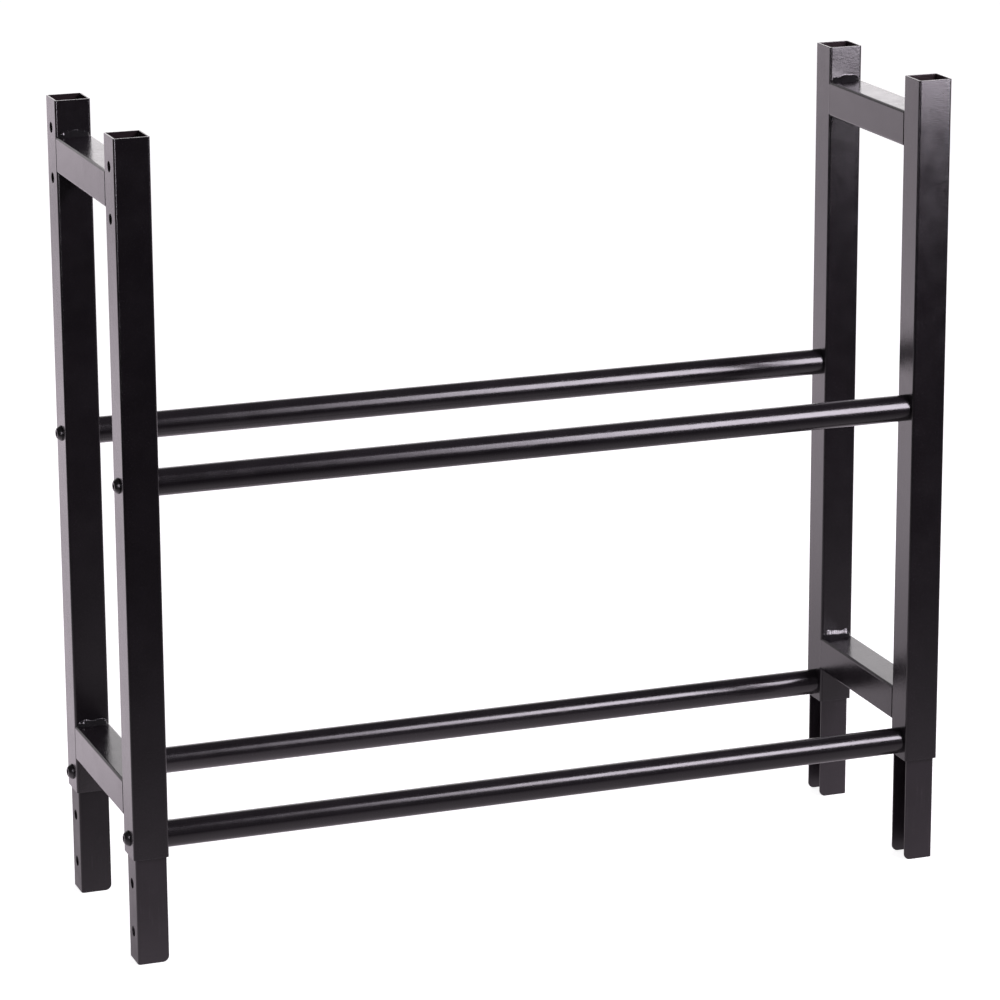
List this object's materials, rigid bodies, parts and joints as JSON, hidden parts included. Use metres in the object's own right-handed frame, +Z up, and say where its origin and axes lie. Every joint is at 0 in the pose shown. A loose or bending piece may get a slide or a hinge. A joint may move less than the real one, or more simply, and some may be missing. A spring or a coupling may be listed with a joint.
{
  "type": "firewood log rack",
  "caption": "Free-standing steel firewood rack: welded square-tube end frames joined by round rails, on channel legs that slide in the uprights and nest in a rack below.",
  "frame": {"origin": "on the floor, under the middle of the rack", "axes": "+X along the rails to the right-hand end frame, +Y to the rear, +Z up"},
  "size_m": [0.975, 0.278, 0.918],
  "materials": {
    "frame_coat": "semi-gloss black powder coat with a fine orange peel",
    "rail_coat": "semi-gloss black powder coat, smooth",
    "leg_coat": "semi-gloss black powder coat on bent sheet",
    "weld_coat": "rippled weld bead under glossy black coat",
    "screw_black": "glossy black oxide",
    "plug_zinc": "zinc-plated turned steel"
  },
  "bodies": {
    "frame": {"upright_front_left": "frame_coat", "upright_rear_left": "frame_coat", "upright_front_right": "frame_coat", "upright_rear_right": "frame_coat", "crossbar_upper_left": "frame_coat", "crossbar_lower_left": "frame_coat", "crossbar_upper_right": "frame_coat", "crossbar_lower_right": "frame_coat", "rail_upper_front": "rail_coat", "rail_upper_rear": "rail_coat", "rail_lower_front": "rail_coat", "rail_lower_rear": "rail_coat", "screw_upper_front_left": "screw_black", "screw_upper_rear_left": "screw_black", "screw_upper_front_right": "screw_black", "screw_upper_rear_right": "screw_black", "screw_lower_front_left": "screw_black", "screw_lower_rear_left": "screw_black", "screw_lower_front_right": "screw_black", "screw_lower_rear_right": "screw_black", "plug_upper_front_left": "plug_zinc", "plug_upper_rear_left": "plug_zinc", "plug_upper_front_right": "plug_zinc", "plug_upper_rear_right": "plug_zinc", "plug_lower_front_left": "plug_zinc", "plug_lower_rear_left": "plug_zinc", "plug_lower_front_right": "plug_zinc", "plug_lower_rear_right": "plug_zinc", "weld_upper_front_left": "weld_coat", "weld_upper_rear_left": "weld_coat", "weld_upper_front_right": "weld_coat", "weld_upper_rear_right": "weld_coat", "weld_lower_front_left": "weld_coat", "weld_lower_rear_left": "weld_coat", "weld_lower_front_right": "weld_coat", "weld_lower_rear_right": "weld_coat"},
    "leg_front_left": {"leg_front_left": "leg_coat"},
    "leg_rear_left": {"leg_rear_left": "leg_coat"},
    "leg_front_right": {"leg_front_right": "leg_coat"},
    "leg_rear_right": {"leg_rear_right": "leg_coat"}
  },
  "joints": [
    {"name": "leg_front_left_slide", "type": "slide", "parent": "frame", "child": "leg_front_left", "axis": [0, 0, -1], "range_m": [0, 0.055]},
    {"name": "leg_rear_left_slide", "type": "slide", "parent": "frame", "child": "leg_rear_left", "axis": [0, 0, -1], "range_m": [0, 0.055]},
    {"name": "leg_front_right_slide", "type": "slide", "parent": "frame", "child": "leg_front_right", "axis": [0, 0, -1], "range_m": [0, 0.055]},
    {"name": "leg_rear_right_slide", "type": "slide", "parent": "frame", "child": "leg_rear_right", "axis": [0, 0, -1], "range_m": [0, 0.055]}
  ]
}
